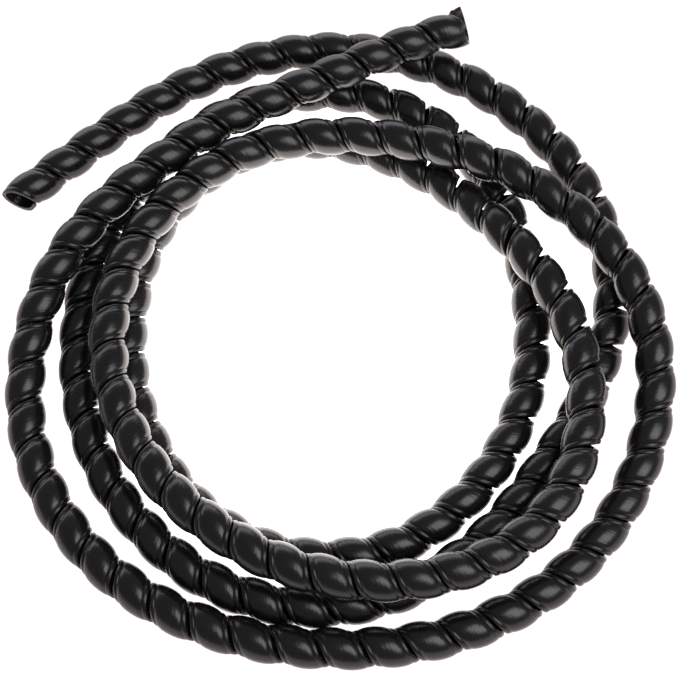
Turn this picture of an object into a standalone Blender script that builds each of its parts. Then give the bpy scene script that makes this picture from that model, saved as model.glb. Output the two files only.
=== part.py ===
"""Spiral cable wrap: one plastic strip wound into a tube and laid down as a loose coil.

The strip is swept along a helix around the coil's centre line. Its turns nearly meet on
the inside of each bend, where they press against each other, and open on the outside.
Metres, +Z up. The origin is the middle of the coil's footprint, on the floor.
"""

import math

import bmesh
import bpy
import numpy as np

MILLIMETRE = 0.001

# The strip and the tube it makes
TUBE_DIAMETER = 0.0115     # over the strip's crown
STRIP_WIDTH = 0.0112       # along the tube
WALL = 0.0012              # strip thickness under the crown
LIP_DROP = 0.0013          # how far the strip's edges lie inside its crown
EDGE_GAP = 0.0003          # least space between one turn's edge and the next
CUT_TIP = 0.3              # width left at the tip of a cut end, in strip widths
START_TURN = 0.53          # where around the tube the strip starts, in turns from the top

# How far apart the turns lie on the centre line: clock angle as in ROUTE, millimetres
PITCH = (
    (-63, 12.05), (-30, 11.9), (0, 11.9), (40, 12.25), (60, 12.45), (75, 12.5), (95, 12.0),
    (115, 11.65), (135, 11.55), (165, 11.7), (199, 11.85), (230, 11.95), (262, 12.0),
    (290, 12.2), (320, 12.15), (350, 12.15), (370, 12.25), (394, 12.65), (410, 12.75),
    (429, 12.6), (452, 11.8), (481, 11.55), (505, 11.45), (535, 11.45), (571, 11.55),
    (599, 11.6), (632, 11.7), (661, 11.9), (682, 12.0), (701, 11.95), (718, 11.95),
    (744, 11.95), (775, 12.2), (800, 12.0), (818, 11.9), (835, 11.85), (856, 11.25),
    (877, 11.05), (904, 11.55), (938, 11.6), (955, 11.55), (968, 11.55), (985, 11.75),
    (1003, 11.95), (1018, 12.05), (1035, 12.1), (1058, 12.1), (1085, 11.9), (1108, 12.0),
    (1136, 12.2), (1156, 11.8), (1172, 11.6), (1188, 11.45), (1204, 11.5), (1217, 11.55),
    (1240, 11.6), (1265, 11.9), (1282, 11.95), (1298, 11.85), (1322, 11.8), (1352, 11.85),
    (1380, 11.9), (1409, 12.1), (1440, 11.95), (1461, 11.95),
)

# The tube's cut ends: the way out of the tube, as shares along it, to its right and up.
# The last half turn of the strip has sprung a little outwards.
FIRST_CUT = (-1.0, 0.5, 0.0)
LAST_CUT = (1.0, 0.15, 0.35)
NEAR_END = 0.02            # the tube's length within which a cut can reach
SPRUNG_TURNS = 0.45
SPRUNG_OUT = 0.0014

# How the tube lies
COIL_RADIUS = 0.072        # the coil's middle radius, from which the route's offsets count

# The coil's centre line: clock angle in degrees, clockwise from +Y and counted on
# through the turns; millimetres outside COIL_RADIUS; height above a tube that lies on
# the floor, in tube diameters. A crossing lifts the upper tube by a little over one.
ROUTE = (
    (-62.9, 37.2, 0.0), (-50.6, 31.6, 0.0), (-43.6, 30.3, 0.0), (-28.8, 30.4, 0.0),
    (-14.3, 31.8, 0.0), (0, 32.2, 0.0), (14.3, 30.6, 0.0), (28.8, 27.5, 0.0),
    (43.6, 23.4, 0.0), (58.8, 18.3, 0.0), (74.3, 12.4, 0.0), (90, 5.6, 0.0),
    (105.7, -0.2, 0.0), (121.2, -3.2, 0.0), (136.4, -2.5, 0.0), (151.2, 0.0, 0.0),
    (165.7, 2.6, 0.0), (180, 5.1, 0.0), (194.3, 6.3, 0.0), (208.8, 6.2, 0.0),
    (223.6, 5.2, 0.0), (238.8, 4.4, 0.0), (254.3, 3.7, 0.0), (270, 3.9, 0.0),
    (285.7, 5.4, 0.0), (301.2, 8.0, 0.0), (316.4, 10.8, 0.0), (331.2, 13.8, 0.0),
    (345.7, 16.3, 0.0), (360, 15.9, 0.0), (374.3, 12.3, 0.0), (388.8, 6.2, 0.0),
    (403.6, -1.6, 0.0), (418.8, -8.7, 0.0), (434.3, -13.4, 0.0), (450, -15.7, 0.0),
    (465.7, -16.4, 0.0), (481.2, -15.9, 0.0), (496.4, -14.5, 0.0), (511.2, -12.3, 0.0),
    (525.7, -10.0, 0.0), (540, -8.6, 0.0), (554.3, -8.0, 0.0), (568.8, -8.6, 0.0),
    (583.6, -9.7, 0.0), (598.8, -11.1, 0.0), (614.3, -11.5, 0.0), (630, -10.9, 0.0),
    (645.7, -8.9, 0.0), (661.2, -5.5, 0.0), (676.4, -2.4, 0.0), (691.2, -0.2, 0.0),
    (705.7, 0.1, 0.0), (720, -2.4, 0.02), (734.4, -6.6, 0.13), (749, -10.3, 0.35),
    (764.2, -13.0, 0.67), (780, -13.1, 1.0), (795.6, -9.8, 1.08), (811.3, -4.9, 1.06),
    (826.8, 0.3, 1.06), (842.2, 4.7, 1.06), (857.1, 7.0, 1.06), (871.7, 6.2, 1.06),
    (886, 3.6, 1.06), (900, 0.8, 1.06), (914, -1.8, 1.06), (928.2, -4.2, 1.06),
    (942.7, -5.4, 1.06), (957.7, -6.2, 1.06), (973.1, -6.4, 1.06), (988.7, -6.5, 1.06),
    (1004.5, -6.5, 1.06), (1020.1, -6.5, 1.06), (1035.5, -6.6, 1.06), (1050.6, -6.6, 1.06),
    (1065.3, -7.1, 1.07), (1080, -7.5, 1.12), (1094.7, -7.2, 1.21), (1109.6, -4.9, 1.3),
    (1124.6, 0.0, 1.27), (1139.8, 6.3, 1.16), (1155.3, 12.8, 1.08), (1163.5, 15.7, 0.95),
    (1170.7, 17.7, 0.77), (1186, 20.2, 0.32), (1201.2, 20.8, 0.06), (1216.4, 20.5, 0.0),
    (1231.2, 19.3, 0.0), (1245.7, 17.8, 0.0), (1260, 16.8, 0.0), (1274.3, 17.3, 0.0),
    (1288.8, 18.7, 0.0), (1303.6, 20.2, 0.0), (1318.8, 20.8, 0.03), (1334.2, 20.0, 0.14),
    (1349.6, 16.9, 0.44), (1364.9, 12.7, 0.86), (1380.3, 8.0, 1.08), (1395.6, 5.3, 1.08),
    (1410.6, 5.5, 1.07), (1425.4, 8.2, 1.07), (1440, 15.7, 1.08), (1449.7, 24.9, 1.1),
    (1460.7, 38.9, 1.12),
)

# How finely the helix is cut into flats
FLATS_PER_TURN = 7
ROUTE_SAMPLES = 6000


def natural_spline(knots, values, where):
    """Read a natural cubic spline through the knots at the places asked for."""
    step = np.diff(knots)
    slope = np.diff(values) / step
    matrix = np.eye(len(knots))
    right = np.zeros(len(knots))
    for i in range(1, len(knots) - 1):
        matrix[i, i - 1:i + 2] = step[i - 1], 2.0 * (step[i - 1] + step[i]), step[i]
        right[i] = 6.0 * (slope[i] - slope[i - 1])
    bend = np.linalg.solve(matrix, right)
    i = np.clip(np.searchsorted(knots, where) - 1, 0, len(step) - 1)
    before = where - knots[i]
    after = knots[i + 1] - where
    return ((bend[i] * after ** 3 + bend[i + 1] * before ** 3) / (6.0 * step[i])
            + (values[i] / step[i] - bend[i] * step[i] / 6.0) * after
            + (values[i + 1] / step[i] - bend[i + 1] * step[i] / 6.0) * before)


def at(distance, values, where):
    """Read each column of values, given along the distance, at the places asked for."""
    return np.stack([np.interp(where, distance, column) for column in values.T], axis=1)


def unit(vectors):
    return vectors / np.linalg.norm(vectors, axis=-1, keepdims=True)


def centre_line():
    """The coil's centre line at even steps: distances, points and clock angles."""
    clock, out, lift = np.array(ROUTE, dtype=float).T
    angle = np.linspace(clock[0], clock[-1], ROUTE_SAMPLES)
    radius = COIL_RADIUS + MILLIMETRE * natural_spline(clock, out, angle)
    height = TUBE_DIAMETER * (0.5 + natural_spline(clock, lift, angle))
    turn = np.radians(angle)
    points = np.stack([radius * np.sin(turn), radius * np.cos(turn), height], axis=1)
    gone = np.linalg.norm(np.diff(points, axis=0), axis=1)
    distance = np.concatenate([[0.0], np.cumsum(gone)])
    even = np.linspace(0.0, distance[-1], ROUTE_SAMPLES)
    return even, at(distance, points, even), np.interp(even, distance, angle)


def helix(distance, angle):
    """The helix's pitch at each distance along the tube, and its turns up to there."""
    clock, chosen = np.array(PITCH, dtype=float).T
    pitch = MILLIMETRE * np.interp(angle, clock, chosen)
    steps = np.diff(distance) * 2.0 / (pitch[1:] + pitch[:-1])
    return pitch, START_TURN + np.concatenate([[0.0], np.cumsum(steps)])


def strip_section():
    """The strip's outline, as shares of its width and distances from the tube's middle."""
    crown = TUBE_DIAMETER / 2.0
    lip = crown - LIP_DROP
    inner = crown - WALL - LIP_DROP / 2.0
    return ((0.0, lip), (0.5, crown), (1.0, lip), (1.0, inner), (0.0, inner))


def room(centre, forward, outward, radius, plane):
    """How far along the tube the cut lies from a ring, at that radius."""
    point, normal = plane
    return np.dot(point - centre - radius * outward, normal) / np.dot(forward, normal)


def cut_planes(points, along, side, up):
    """For each cut, a point on it and the way out of the tube there."""
    return [(points[i], unit(ahead * along[i] + right * side[i] + upwards * up[i]))
            for i, (ahead, right, upwards) in ((0, FIRST_CUT), (-1, LAST_CUT))]


def strip_rings():
    """One ring of points for each flat of the strip, from one cut end to the other."""
    distance, points, angle = centre_line()
    along = unit(np.gradient(points, distance, axis=0))
    bend = np.gradient(along, distance, axis=0)
    pitch, turns = helix(distance, angle)
    side = unit(np.cross(along, (0.0, 0.0, 1.0)))
    up = np.cross(side, along)
    first_plane, last_plane = cut_planes(points, along, side, up)

    # The cuts run across the tube, so the strip starts and ends as a tip
    tip = (0.5 - CUT_TIP) * STRIP_WIDTH / pitch[0]
    first = turns[0] - tip
    last = turns[-1] + tip
    count = round((last - first) * FLATS_PER_TURN)
    # A polygon of this radius has the same mean radius as the round tube
    grow = 2.0 / (1.0 + math.cos(math.pi / FLATS_PER_TURN))

    rings = []
    for turn in np.linspace(first, last, count + 1):
        here = np.interp(turn, turns, distance)
        centre, forward, sideways, upward, bent = (
            at(distance, values, [here])[0] for values in (points, along, side, up, bend))
        beyond = pitch[0] * (min(turn - turns[0], 0.0) + max(turn - turns[-1], 0.0))
        turned = 2.0 * math.pi * turn
        outward = math.cos(turned) * upward + math.sin(turned) * sideways
        # On the inside of a bend the next turn leaves the strip less room
        stretch = 1.0 - (TUBE_DIAMETER / 2.0 - LIP_DROP) * np.dot(bent, outward)
        width = min(STRIP_WIDTH, np.interp(here, distance, pitch) * stretch - EDGE_GAP)
        sprung = SPRUNG_OUT * max(0.0, 1.0 - (last - turn) / SPRUNG_TURNS) ** 2
        ring = []
        for share, radius in strip_section():
            radius = (radius + sprung) * grow
            low = beyond - width / 2.0
            high = beyond + width / 2.0
            if here < NEAR_END:
                low = max(low, room(centre, forward, outward, radius, first_plane))
            if here > distance[-1] - NEAR_END:
                high = min(high, room(centre, forward, outward, radius, last_plane))
            place = low + share * (high - low)
            ring.append(centre + place * forward + radius * outward)
        rings.append(ring)
    return np.array(rings)


def on_the_floor(rings):
    """Move the points so that the origin is at the bottom centre of their box."""
    low = rings.min(axis=(0, 1))
    high = rings.max(axis=(0, 1))
    return rings - ((low[0] + high[0]) / 2.0, (low[1] + high[1]) / 2.0, low[2])


def loft(name, rings):
    """One closed body through rings of equal length, with flat ends."""
    shape = bmesh.new()
    corners = [[shape.verts.new(point) for point in ring] for ring in rings]
    for ring, after in zip(corners, corners[1:]):
        for i in range(len(ring)):
            j = (i + 1) % len(ring)
            shape.faces.new((ring[i], ring[j], after[j], after[i]))
    shape.faces.new(corners[0][::-1])
    shape.faces.new(corners[-1])
    bmesh.ops.recalc_face_normals(shape, faces=shape.faces)
    bmesh.ops.triangulate(shape, faces=shape.faces)
    mesh = bpy.data.meshes.new(name)
    shape.to_mesh(mesh)
    shape.free()
    mesh.shade_smooth()
    mesh.set_sharp_from_angle(angle=math.radians(50.0))
    return bpy.data.objects.new(name, mesh)


def black_plastic():
    material = bpy.data.materials.new("black_plastic")
    material.use_nodes = True
    surface = material.node_tree.nodes["Principled BSDF"]
    surface.inputs["Base Color"].default_value = (0.012, 0.012, 0.013, 1.0)
    surface.inputs["Roughness"].default_value = 0.35
    surface.inputs["Metallic"].default_value = 0.0
    return material


def main():
    for old in list(bpy.data.objects):
        bpy.data.objects.remove(old)
    collection = bpy.data.collections.new("spiral_cable_wrap")
    bpy.context.scene.collection.children.link(collection)
    strip = loft("wrap_strip", on_the_floor(strip_rings()))
    strip.data.materials.append(black_plastic())
    collection.objects.link(strip)


main()
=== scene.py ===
# %% [markdown]
# # A coil of spiral cable wrap
#
# Spiral wrap is one narrow strip of plastic, wound into a tube that opens turn by turn
# and closes again round a bundle of cables. Each turn of the strip is crowned, so the
# tube looks like a row of black beads with a slanting slit between them.
#
# This lesson builds the wrap as it lies on a table: a camera, the line that the coil
# follows, the strip along that line, its plastic, and the light of a small white studio.

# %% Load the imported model
import math

import bmesh
import bpy
import numpy as np
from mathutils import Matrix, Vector


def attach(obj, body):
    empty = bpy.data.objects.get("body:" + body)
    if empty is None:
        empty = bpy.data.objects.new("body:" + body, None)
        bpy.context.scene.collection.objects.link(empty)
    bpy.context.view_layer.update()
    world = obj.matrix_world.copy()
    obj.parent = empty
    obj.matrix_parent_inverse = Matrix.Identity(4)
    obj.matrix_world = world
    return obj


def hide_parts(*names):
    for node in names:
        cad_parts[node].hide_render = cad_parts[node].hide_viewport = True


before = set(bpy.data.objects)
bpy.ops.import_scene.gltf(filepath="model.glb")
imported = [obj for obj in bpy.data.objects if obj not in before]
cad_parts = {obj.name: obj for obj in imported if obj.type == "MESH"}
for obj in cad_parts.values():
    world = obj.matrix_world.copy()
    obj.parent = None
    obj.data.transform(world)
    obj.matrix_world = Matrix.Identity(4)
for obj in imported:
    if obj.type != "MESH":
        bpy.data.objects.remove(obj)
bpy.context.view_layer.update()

# %% [markdown]
# ## The camera
#
# The photo looks down at the coil from 65 degrees above the table and half a metre away.
# Two things fix this. The far side of the tube is drawn about 15% smaller than the near
# side. And at the right the white of the table shows through slits of the upper and the
# lower side of the tube at once, which it does only when seen this much from the front.

# %% Place the camera
CAMERA_RISE = math.radians(65.0)
CAMERA_DISTANCE = 0.4915
LOOK_AT = Vector((0.0036, -0.0045, 0.0062))
FOCAL_LENGTH = 1683.4   # in pixels of a picture that is PICTURE_WIDTH wide
PICTURE_WIDTH = 680.0
NEAREST_SEEN = 0.01

camera_data = bpy.data.cameras.new("camera")
camera_data.sensor_fit = "HORIZONTAL"
camera_data.angle = 2.0 * math.atan(0.5 * PICTURE_WIDTH / FOCAL_LENGTH)
camera_data.clip_start = NEAREST_SEEN
camera = bpy.data.objects.new("camera", camera_data)
bpy.context.scene.collection.objects.link(camera)
towards_camera = Vector((0.0, -math.cos(CAMERA_RISE), math.sin(CAMERA_RISE)))
camera.location = LOOK_AT + CAMERA_DISTANCE * towards_camera
camera.rotation_euler = (math.pi / 2.0 - CAMERA_RISE, 0.0, 0.0)
bpy.context.scene.camera = camera
print("camera at", [round(value, 3) for value in camera.location])

# %% [markdown]
# ## The line that the coil follows
#
# The wrap is a springy tube, so its line is smooth and its crossings are long low humps.
# The list below follows the tube as it lies in the photo: the outer turn first, then
# inwards, up onto the other turns at the right, round on top, down again outside them,
# and at last over all of them. Its points were first read off the photo. Small programs
# then worked them out anew for this camera and corrected them, so the numbers here
# aren't chosen by hand. A smooth curve joins the points.

# %% List the route
MILLIMETRE = 0.001
TUBE_DIAMETER = 0.0115
COIL_RADIUS = 0.072

# Clock angle in degrees, clockwise from +Y and counted on through the turns;
# millimetres outside COIL_RADIUS; height above the floor's own layer, in diameters
ROUTE = (
    (-62.9, 37.2, 0.0), (-50.6, 31.6, 0.0), (-43.6, 30.3, 0.0), (-28.8, 30.4, 0.0),
    (-14.3, 31.8, 0.0), (0, 32.2, 0.0), (14.3, 30.6, 0.0), (28.8, 27.5, 0.0),
    (43.6, 23.4, 0.0), (58.8, 18.3, 0.0), (74.3, 12.4, 0.0), (90, 5.6, 0.0),
    (105.7, -0.2, 0.0), (121.2, -3.2, 0.0), (136.4, -2.5, 0.0), (151.2, 0.0, 0.0),
    (165.7, 2.6, 0.0), (180, 5.1, 0.0), (194.3, 6.3, 0.0), (208.8, 6.2, 0.0),
    (223.6, 5.2, 0.0), (238.8, 4.4, 0.0), (254.3, 3.7, 0.0), (270, 3.9, 0.0),
    (285.7, 5.4, 0.0), (301.2, 8.0, 0.0), (316.4, 10.8, 0.0), (331.2, 13.8, 0.0),
    (345.7, 16.3, 0.0), (360, 15.9, 0.0), (374.3, 12.3, 0.0), (388.8, 6.2, 0.0),
    (403.6, -1.6, 0.0), (418.8, -8.7, 0.0), (434.3, -13.4, 0.0), (450, -15.7, 0.0),
    (465.7, -16.4, 0.0), (481.2, -15.9, 0.0), (496.4, -14.5, 0.0), (511.2, -12.3, 0.0),
    (525.7, -10.0, 0.0), (540, -8.6, 0.0), (554.3, -8.0, 0.0), (568.8, -8.6, 0.0),
    (583.6, -9.7, 0.0), (598.8, -11.1, 0.0), (614.3, -11.5, 0.0), (630, -10.9, 0.0),
    (645.7, -8.9, 0.0), (661.2, -5.5, 0.0), (676.4, -2.4, 0.0), (691.2, -0.2, 0.0),
    (705.7, 0.1, 0.0), (720, -2.4, 0.02), (734.4, -6.6, 0.13), (749, -10.3, 0.35),
    (764.2, -13.0, 0.67), (780, -13.1, 1.0), (795.6, -9.8, 1.08), (811.3, -4.9, 1.06),
    (826.8, 0.3, 1.06), (842.2, 4.7, 1.06), (857.1, 7.0, 1.06), (871.7, 6.2, 1.06),
    (886, 3.6, 1.06), (900, 0.8, 1.06), (914, -1.8, 1.06), (928.2, -4.2, 1.06),
    (942.7, -5.4, 1.06), (957.7, -6.2, 1.06), (973.1, -6.4, 1.06), (988.7, -6.5, 1.06),
    (1004.5, -6.5, 1.06), (1020.1, -6.5, 1.06), (1035.5, -6.6, 1.06), (1050.6, -6.6, 1.06),
    (1065.3, -7.1, 1.07), (1080, -7.5, 1.12), (1094.7, -7.2, 1.21), (1109.6, -4.9, 1.3),
    (1124.6, 0.0, 1.27), (1139.8, 6.3, 1.16), (1155.3, 12.8, 1.08), (1163.5, 15.7, 0.95),
    (1170.7, 17.7, 0.77), (1186, 20.2, 0.32), (1201.2, 20.8, 0.06), (1216.4, 20.5, 0.0),
    (1231.2, 19.3, 0.0), (1245.7, 17.8, 0.0), (1260, 16.8, 0.0), (1274.3, 17.3, 0.0),
    (1288.8, 18.7, 0.0), (1303.6, 20.2, 0.0), (1318.8, 20.8, 0.03), (1334.2, 20.0, 0.14),
    (1349.6, 16.9, 0.44), (1364.9, 12.7, 0.86), (1380.3, 8.0, 1.08), (1395.6, 5.3, 1.08),
    (1410.6, 5.5, 1.07), (1425.4, 8.2, 1.07), (1440, 15.7, 1.08), (1449.7, 24.9, 1.1),
    (1460.7, 38.9, 1.12),
)
print("route points:", len(ROUTE))

# %% [markdown]
# ## A smooth line through the route
#
# A springy tube bends evenly, so its curvature has no jumps. A natural cubic spline has
# that property too, and it goes through every point of the list. It is drawn here in
# 6000 small steps of equal length, and its direction and bend are read from them. A curve
# object would do the same, but its bend is harder to ask for.

# %% Draw a smooth line through it
ROUTE_SAMPLES = 6000


def natural_spline(knots, values, where):
    """Read a natural cubic spline through the knots at the places asked for."""
    step = np.diff(knots)
    slope = np.diff(values) / step
    matrix = np.eye(len(knots))
    right = np.zeros(len(knots))
    for i in range(1, len(knots) - 1):
        matrix[i, i - 1:i + 2] = step[i - 1], 2.0 * (step[i - 1] + step[i]), step[i]
        right[i] = 6.0 * (slope[i] - slope[i - 1])
    bend = np.linalg.solve(matrix, right)
    i = np.clip(np.searchsorted(knots, where) - 1, 0, len(step) - 1)
    before = where - knots[i]
    after = knots[i + 1] - where
    return ((bend[i] * after ** 3 + bend[i + 1] * before ** 3) / (6.0 * step[i])
            + (values[i] / step[i] - bend[i] * step[i] / 6.0) * after
            + (values[i + 1] / step[i] - bend[i + 1] * step[i] / 6.0) * before)


def at(distance, values, where):
    """Read each column of values, given along the distance, at the places asked for."""
    return np.stack([np.interp(where, distance, column) for column in values.T], axis=1)


def unit(vectors):
    """The same directions at length 1."""
    return vectors / np.linalg.norm(vectors, axis=-1, keepdims=True)


def centre_line():
    """The coil's centre line at even steps: distances, points and clock angles."""
    clock, out, lift = np.array(ROUTE, dtype=float).T
    angle = np.linspace(clock[0], clock[-1], ROUTE_SAMPLES)
    radius = COIL_RADIUS + MILLIMETRE * natural_spline(clock, out, angle)
    height = TUBE_DIAMETER * (0.5 + natural_spline(clock, lift, angle))
    turn = np.radians(angle)
    points = np.stack([radius * np.sin(turn), radius * np.cos(turn), height], axis=1)
    gone = np.linalg.norm(np.diff(points, axis=0), axis=1)
    distance = np.concatenate([[0.0], np.cumsum(gone)])
    even = np.linspace(0.0, distance[-1], ROUTE_SAMPLES)
    return even, at(distance, points, even), np.interp(even, distance, angle)


distance, centres, clock_angle = centre_line()
along = unit(np.gradient(centres, distance, axis=0))
bend = np.gradient(along, distance, axis=0)
print("length of the wrap in m:", round(distance[-1], 3))
print("tightest bend, radius in mm:", round(1000.0 / np.linalg.norm(bend, axis=1).max(), 1))

# %% [markdown]
# ## How the strip is wound
#
# The strip is a right-handed helix round that line. A turn takes 11 to 13 mm of the tube,
# more where the wrap lies stretched. On the inside of a bend the edges press together,
# and on the outside the turns open: that is why the white of the table shows through on
# the outer side of each curve. The number of turns is found by adding up small steps.
# How far apart the turns lie was worked out by a small program, from how far the turns of
# a render lay from those of the photo. It isn't chosen by hand either.

# %% Count the strip's turns along the tube
STRIP_WIDTH = 0.0112
LIP_DROP = 0.0013
EDGE_GAP = 0.0003
START_TURN = 0.53

# Clock angle as in ROUTE, and the tube's length that one turn of the strip takes there
PITCH = (
    (-63, 12.05), (-30, 11.9), (0, 11.9), (40, 12.25), (60, 12.45), (75, 12.5), (95, 12.0),
    (115, 11.65), (135, 11.55), (165, 11.7), (199, 11.85), (230, 11.95), (262, 12.0),
    (290, 12.2), (320, 12.15), (350, 12.15), (370, 12.25), (394, 12.65), (410, 12.75),
    (429, 12.6), (452, 11.8), (481, 11.55), (505, 11.45), (535, 11.45), (571, 11.55),
    (599, 11.6), (632, 11.7), (661, 11.9), (682, 12.0), (701, 11.95), (718, 11.95),
    (744, 11.95), (775, 12.2), (800, 12.0), (818, 11.9), (835, 11.85), (856, 11.25),
    (877, 11.05), (904, 11.55), (938, 11.6), (955, 11.55), (968, 11.55), (985, 11.75),
    (1003, 11.95), (1018, 12.05), (1035, 12.1), (1058, 12.1), (1085, 11.9), (1108, 12.0),
    (1136, 12.2), (1156, 11.8), (1172, 11.6), (1188, 11.45), (1204, 11.5), (1217, 11.55),
    (1240, 11.6), (1265, 11.9), (1282, 11.95), (1298, 11.85), (1322, 11.8), (1352, 11.85),
    (1380, 11.9), (1409, 12.1), (1440, 11.95), (1461, 11.95),
)


def helix():
    """The helix's pitch at each distance along the tube, and its turns up to there."""
    clock, chosen = np.array(PITCH, dtype=float).T
    pitch = MILLIMETRE * np.interp(clock_angle, clock, chosen)
    steps = np.diff(distance) * 2.0 / (pitch[1:] + pitch[:-1])
    return pitch, START_TURN + np.concatenate([[0.0], np.cumsum(steps)])


pitch, turns = helix()
print("turns of the strip:", round(turns[-1] - turns[0], 1))

# %% [markdown]
# ## The strip's section
#
# Cut across, the strip is a shallow arch about 1.2 mm thick. Its crown rises in the
# middle, and along both edges runs a lip: a small groove, then a rounded rim that catches
# the light. Half of the section is given here, from the middle to one edge, and the other
# half is its mirror image.

# %% Give the section
# Millimetres from the strip's middle, and below its crown
OUTER = ((0.0, 0.0), (1.5, 0.08), (2.8, 0.29), (3.9, 0.66), (4.1, 0.9), (4.35, 0.74),
         (4.85, 0.81), (5.25, 0.91), (5.45, 1.06), (5.56, 1.32), (5.6, 1.7))
INNER = ((0.0, 1.2), (3.3, 1.6), (5.6, 2.2))


def mirrored(half):
    """A whole profile from its half: places across the strip, and depths, in metres."""
    right = np.array(half) * MILLIMETRE
    left = right[:0:-1] * (-1.0, 1.0)
    return np.concatenate([left, right])


outer = mirrored(OUTER)
inner = mirrored(INNER)
print("points in the section:", len(outer) + len(inner))

# %% [markdown]
# ## The cut ends
#
# The tube was cut through with snips. At the first end the cut runs aslant, along the
# strip's own edge, and at the other it leans back, so one looks down into the tube. Each
# cut is a plane: points of the strip that would pass it are moved back onto it. The last
# half turn of the strip has sprung a little outwards.

# %% Cut the ends
CUT_TIP = 0.3
FIRST_CUT = (-1.0, 0.5, 0.0)    # out of the tube: along it, to its right side, upwards
LAST_CUT = (1.0, 0.15, 0.35)
SPRUNG_TURNS = 0.45
SPRUNG_OUT = 0.0014

side = unit(np.cross(along, (0.0, 0.0, 1.0)))
up = np.cross(side, along)


def cut_plane(i, direction):
    """A point on the cut at sample i of the line, and the way out of the tube there."""
    ahead, right, upwards = direction
    return centres[i], unit(ahead * along[i] + right * side[i] + upwards * up[i])


first_plane = cut_plane(0, FIRST_CUT)
last_plane = cut_plane(-1, LAST_CUT)
print("way out of the first end:", np.round(first_plane[1], 2).tolist())
print("way out of the last end:", np.round(last_plane[1], 2).tolist())

# %% [markdown]
# ## The strip as a mesh
#
# A strip like this is drawn in code, one ring of points for every 16 degrees of the
# helix, because no modifier winds a section along a helix whose pitch changes. Each ring
# keeps its place across the strip and its distance along it in a UV map, so the plastic's
# fine lines can follow the strip.

# %% Wind the strip
RINGS_PER_TURN = 22
NEAR_END = 0.02


def room(centre, forward, outward, radius, plane):
    """How far along the tube the cut lies from a ring, at that radius."""
    point, normal = plane
    return np.dot(point - centre - radius * outward, normal) / np.dot(forward, normal)


def ring_at(turn):
    """The ring of points where the strip has made this many turns."""
    here = np.interp(turn, turns, distance)
    centre, forward, sideways, upward, bent = (
        at(distance, values, [here])[0] for values in (centres, along, side, up, bend))
    beyond = pitch[0] * (min(turn - turns[0], 0.0) + max(turn - turns[-1], 0.0))
    turned = 2.0 * math.pi * turn
    outward = math.cos(turned) * upward + math.sin(turned) * sideways
    stretch = 1.0 - (TUBE_DIAMETER / 2.0 - LIP_DROP) * np.dot(bent, outward)
    width = min(STRIP_WIDTH, np.interp(here, distance, pitch) * stretch - EDGE_GAP)
    sprung = max(0.0, 1.0 - (last_turn - turn) / SPRUNG_TURNS)
    crown = TUBE_DIAMETER / 2.0 + SPRUNG_OUT * sprung ** 2
    points = []
    for profile, order in ((outer, 1), (inner, -1)):
        for across, depth in profile[::order]:
            low = beyond - width / 2.0
            high = beyond + width / 2.0
            if here < NEAR_END:
                low = max(low, room(centre, forward, outward, crown - depth, first_plane))
            if here > distance[-1] - NEAR_END:
                high = min(high, room(centre, forward, outward, crown - depth, last_plane))
            share = across / STRIP_WIDTH + 0.5
            place = low + share * (high - low)
            if high - low < width:
                depth = np.interp(place - beyond, profile[:, 0], profile[:, 1])
            points.append(centre + place * forward + (crown - depth) * outward)
    return points


tip = (0.5 - CUT_TIP) * STRIP_WIDTH / pitch[0]
first_turn = turns[0] - tip
last_turn = turns[-1] + tip
ring_turns = np.linspace(first_turn, last_turn,
                         round((last_turn - first_turn) * RINGS_PER_TURN) + 1)
rings = np.array([ring_at(turn) for turn in ring_turns])
least = rings.min(axis=(0, 1))
most = rings.max(axis=(0, 1))
shift = np.array(((least[0] + most[0]) / 2.0, (least[1] + most[1]) / 2.0, least[2]))
rings -= shift
print("rings:", len(rings), "points:", rings.shape[0] * rings.shape[1])

# %% [markdown]
# ## From rings to a closed body
#
# Neighbouring rings are joined by four-sided faces, and the first and last ring are
# closed by a flat face each, as the snips left them. Smooth shading hides the facets,
# and only edges sharper than 60 degrees stay crisp: the rims of the cuts and of the strip.

# %% Make the mesh
STRIP_PER_TURN = math.hypot(math.pi * TUBE_DIAMETER, pitch[0])
SHARP_EDGE = math.radians(60.0)


def loft(name, rings):
    """One closed body through rings of equal length, with flat ends and a UV map.

    In the map, U is about the metres along the strip, and V is the share of the way
    round it, counted in points.
    """
    shape = bmesh.new()
    layer = shape.loops.layers.uv.new("strip")
    corners = [[shape.verts.new(point) for point in ring] for ring in rings]
    count = len(corners[0])
    for k, (ring, after) in enumerate(zip(corners, corners[1:])):
        near, far = (n / RINGS_PER_TURN * STRIP_PER_TURN for n in (k, k + 1))
        for i in range(count):
            j = (i + 1) % count
            face = shape.faces.new((ring[i], ring[j], after[j], after[i]))
            below, above = i / count, (i + 1) / count
            places = ((near, below), (near, above), (far, above), (far, below))
            for loop, place in zip(face.loops, places):
                loop[layer].uv = place
    shape.faces.new(corners[0][::-1])
    shape.faces.new(corners[-1])
    bmesh.ops.recalc_face_normals(shape, faces=shape.faces)
    mesh = bpy.data.meshes.new(name)
    shape.to_mesh(mesh)
    shape.free()
    mesh.shade_smooth()
    return bpy.data.objects.new(name, mesh)


strip = loft("spiral_strip", rings)
bpy.context.scene.collection.objects.link(strip)
strip.data.set_sharp_from_angle(angle=SHARP_EDGE)
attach(strip, "root")
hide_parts("wrap_strip")
print("faces:", len(strip.data.polygons))

# %% [markdown]
# ## A helper for shader sums
#
# A shader is a web of nodes, and sums make it hard to read. This small class wraps one
# output of a node, so that plain Python sums on it add the Math nodes. Its one other
# method adds any other node: what kind, its settings, and what goes into its sockets.

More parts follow.
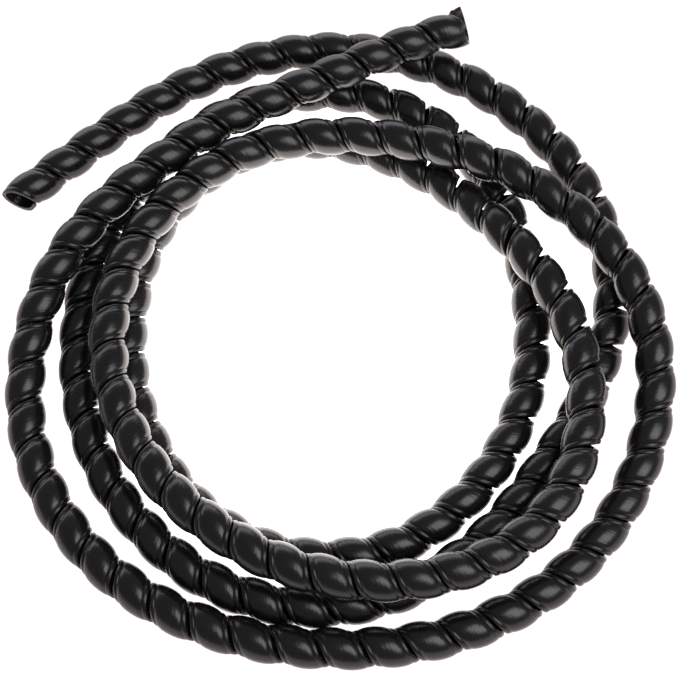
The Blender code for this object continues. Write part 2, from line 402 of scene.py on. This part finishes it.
# %% Wrap a shader value
class Shade:
    """A value in a shader. Sums on it add Math nodes."""

    def __init__(self, tree, socket=None):
        self.tree = tree
        self.socket = socket

    def add(self, kind, settings, inputs, output=0):
        """Add a node, set it up, feed it, and wrap one of its outputs."""
        node = self.tree.nodes.new(kind)
        for name, value in settings.items():
            setattr(node, name, value)
        for name, value in inputs.items():
            if isinstance(value, Shade):
                self.tree.links.new(value.socket, node.inputs[name])
            else:
                node.inputs[name].default_value = value
        return Shade(self.tree, node.outputs[output])

    def sum_node(self, operation, left, right):
        """Add a Math node."""
        return self.add("ShaderNodeMath", {"operation": operation}, {0: left, 1: right})

    def __add__(self, other):
        return self.sum_node("ADD", self, other)

    def __radd__(self, other):
        return self.sum_node("ADD", other, self)

    def __mul__(self, other):
        return self.sum_node("MULTIPLY", self, other)

    def __rmul__(self, other):
        return self.sum_node("MULTIPLY", other, self)


print("operators that a shader value knows: + *")

# %% [markdown]
# ## The plastic
#
# The strip is drawn out of a die as soft black polyethylene, and wound while it is warm.
# The die leaves fine lines that run along the strip, the surface between them is slightly
# grainy, and handling has dulled it in soft patches. All three only show in the
# reflections, so they go into the normal and the roughness, and the colour hardly varies.

# %% Start the plastic
PLASTIC_IOR = 1.51
NOISE_ROUGHNESS = 0.55   # how much of the finer noise is mixed in

plastic = bpy.data.materials.new("black_plastic")
plastic.use_nodes = True
surface = plastic.node_tree.nodes["Principled BSDF"]
surface.inputs["IOR"].default_value = PLASTIC_IOR
shade = Shade(plastic.node_tree)
object_place = shade.add("ShaderNodeTexCoord", {}, {}, "Object")
strip_place = shade.add("ShaderNodeUVMap", {"uv_map": "strip"}, {})


def noise(place, scale, detail):
    """Soft noise between 0 and 1, about a 1/scale part of a unit wide."""
    return shade.add("ShaderNodeTexNoise", {}, {
        "Vector": place, "Scale": scale, "Detail": detail, "Roughness": NOISE_ROUGHNESS})


print("plastic:", plastic.name)

# %% [markdown]
# ## Dull patches and drawn lines
#
# Where hands have touched the plastic, its highlights are wider and dimmer. That is a
# soft noise on the object's own coordinates. The lines from the die follow the strip, so
# they are a noise on its UV map, stretched long: few steps along, many across. Both add
# to the roughness of the smooth plastic.

# %% Dull it in soft patches and lines
GLOSSY_ROUGHNESS = 0.15
PATCHES_PER_METRE = 150.0
PATCH_DETAIL = 3.0
PATCH_DULLING = 0.1
LINES_ALONG = 50.0       # per metre of strip, so each line is about 20 mm long
LINES_ACROSS = 50.0      # per way round, so some tenths of a mm wide, finest at the lips
LINE_DETAIL = 3.0
LINE_DULLING = 0.12

patches = noise(object_place, PATCHES_PER_METRE, PATCH_DETAIL)
stretched = shade.add("ShaderNodeMapping", {}, {
    "Vector": strip_place, "Scale": (LINES_ALONG, LINES_ACROSS, 1.0)})
lines = noise(stretched, 1.0, LINE_DETAIL)
roughness = GLOSSY_ROUGHNESS + PATCH_DULLING * patches + LINE_DULLING * lines
plastic.node_tree.links.new(roughness.socket, surface.inputs["Roughness"])
print("roughness at least", GLOSSY_ROUGHNESS)

# %% [markdown]
# ## Lines and grain in relief
#
# The lines are also shallow ridges, which split each highlight into streaks. Between them
# the plastic has a fine grain. Both are too small to model, so one Bump node turns their
# sum into a tilt of the surface.

# %% Raise the lines and the grain
GRAIN_PER_METRE = 2500.0
GRAIN_DETAIL = 1.0
LINE_SHARE = 0.75
RELIEF = 0.00008         # metres

grain = noise(object_place, GRAIN_PER_METRE, GRAIN_DETAIL)
height = LINE_SHARE * lines + (1.0 - LINE_SHARE) * grain
relief = shade.add("ShaderNodeBump", {}, {
    "Height": height, "Strength": 1.0, "Distance": RELIEF})
plastic.node_tree.links.new(relief.socket, surface.inputs["Normal"])
print("relief in micrometres:", RELIEF * 1e6)

# %% [markdown]
# ## The black
#
# Soot colours the plastic through and through. Where it is rubbed it is a shade paler and
# warmer, so the same patches mix two nearly equal blacks.

# %% Tint it
BLACK = (0.0045, 0.0045, 0.0048, 1.0)
RUBBED_BLACK = (0.0075, 0.0073, 0.0072, 1.0)

tint = shade.add("ShaderNodeMix", {"data_type": "RGBA"}, {
    0: patches, 6: BLACK, 7: RUBBED_BLACK}, 2)
plastic.node_tree.links.new(tint.socket, surface.inputs["Base Color"])
strip.data.materials.append(plastic)
print("nodes in the plastic:", len(plastic.node_tree.nodes))

# %% [markdown]
# ## The studio
#
# The photo has a white table, overexposed until it is pure white and has no shadows, and
# a dark room overhead. The table is what draws the coil: it shines back from the flanks
# of the tube as pale rims. So the table glows by itself, brighter than white. Outside the
# coil's middle it is only just white, as the rims there are dark in the photo.

# %% Lay the table
TABLE_SIZE = 6.0
BELOW_COIL = 0.0002
FULL_GLOW = 0.055        # metres from the middle, up to where the glow is full
LEAST_GLOW = 0.09
BRIGHT = (3.6, 3.4, 3.3, 1.0)
JUST_WHITE = (1.15, 1.05, 1.03, 1.0)

bpy.ops.mesh.primitive_plane_add(size=TABLE_SIZE, location=(0.0, 0.0, -BELOW_COIL))
table = bpy.context.object
table.name = "table"
paper = bpy.data.materials.new("white_paper")
paper.use_nodes = True
paper_surface = paper.node_tree.nodes["Principled BSDF"]
paper_surface.inputs["Base Color"].default_value = (0.0, 0.0, 0.0, 1.0)
paper_surface.inputs["Emission Strength"].default_value = 1.0
paper_surface.inputs["Specular IOR Level"].default_value = 0.0
paper_shade = Shade(paper.node_tree)
on_paper = paper_shade.add("ShaderNodeTexCoord", {}, {}, "Object")
from_middle = paper_shade.add("ShaderNodeVectorMath", {"operation": "LENGTH"}, {
    0: on_paper}, "Value")
share = paper_shade.add("ShaderNodeMapRange", {"interpolation_type": "SMOOTHSTEP"}, {
    "Value": from_middle, "From Min": FULL_GLOW, "From Max": LEAST_GLOW})
glow = paper_shade.add("ShaderNodeMix", {"data_type": "RGBA"}, {
    0: share, 6: BRIGHT, 7: JUST_WHITE}, 2)
paper.node_tree.links.new(glow.socket, paper_surface.inputs["Emission Color"])
table.data.materials.append(paper)
print("table:", TABLE_SIZE, "m")

# %% [markdown]
# ## The lights
#
# One soft box at the right gives each turn its small highlight, and its shape is what
# gives the highlight its shape. A wide bluish one far behind gives the back edges a faint
# sheen. A weak grey surrounding stands for the walls of the room.

# %% Hang the lights
WHITE = (1.0, 1.0, 1.0)
BLUISH = (0.88, 0.87, 1.0)
ROOM_STRENGTH = 0.22


def soft_box(name, direction, away_by, width, height, power, colour):
    """Hang a rectangular lamp that looks at the coil from the given direction."""
    lamp_data = bpy.data.lights.new(name, "AREA")
    lamp_data.shape = "RECTANGLE"
    lamp_data.size = width
    lamp_data.size_y = height
    lamp_data.energy = power
    lamp_data.color = colour
    lamp = bpy.data.objects.new(name, lamp_data)
    bpy.context.scene.collection.objects.link(lamp)
    away = Vector(direction).normalized()
    lamp.location = away_by * away
    lamp.rotation_euler = away.to_track_quat("Z", "Y").to_euler()


soft_box("key_light", (0.5, -0.27, 0.82), away_by=1.0, width=0.62, height=0.85,
         power=5.4, colour=WHITE)
soft_box("back_light", (-0.35, 1.0, 0.3), away_by=1.5, width=2.4, height=0.8,
         power=12.0, colour=BLUISH)

world = bpy.data.worlds.new("studio")
bpy.context.scene.world = world
world.use_nodes = True
background = world.node_tree.nodes["Background"]
background.inputs["Color"].default_value = (*WHITE, 1.0)
background.inputs["Strength"].default_value = ROOM_STRENGTH
bpy.context.scene.view_settings.view_transform = "Standard"
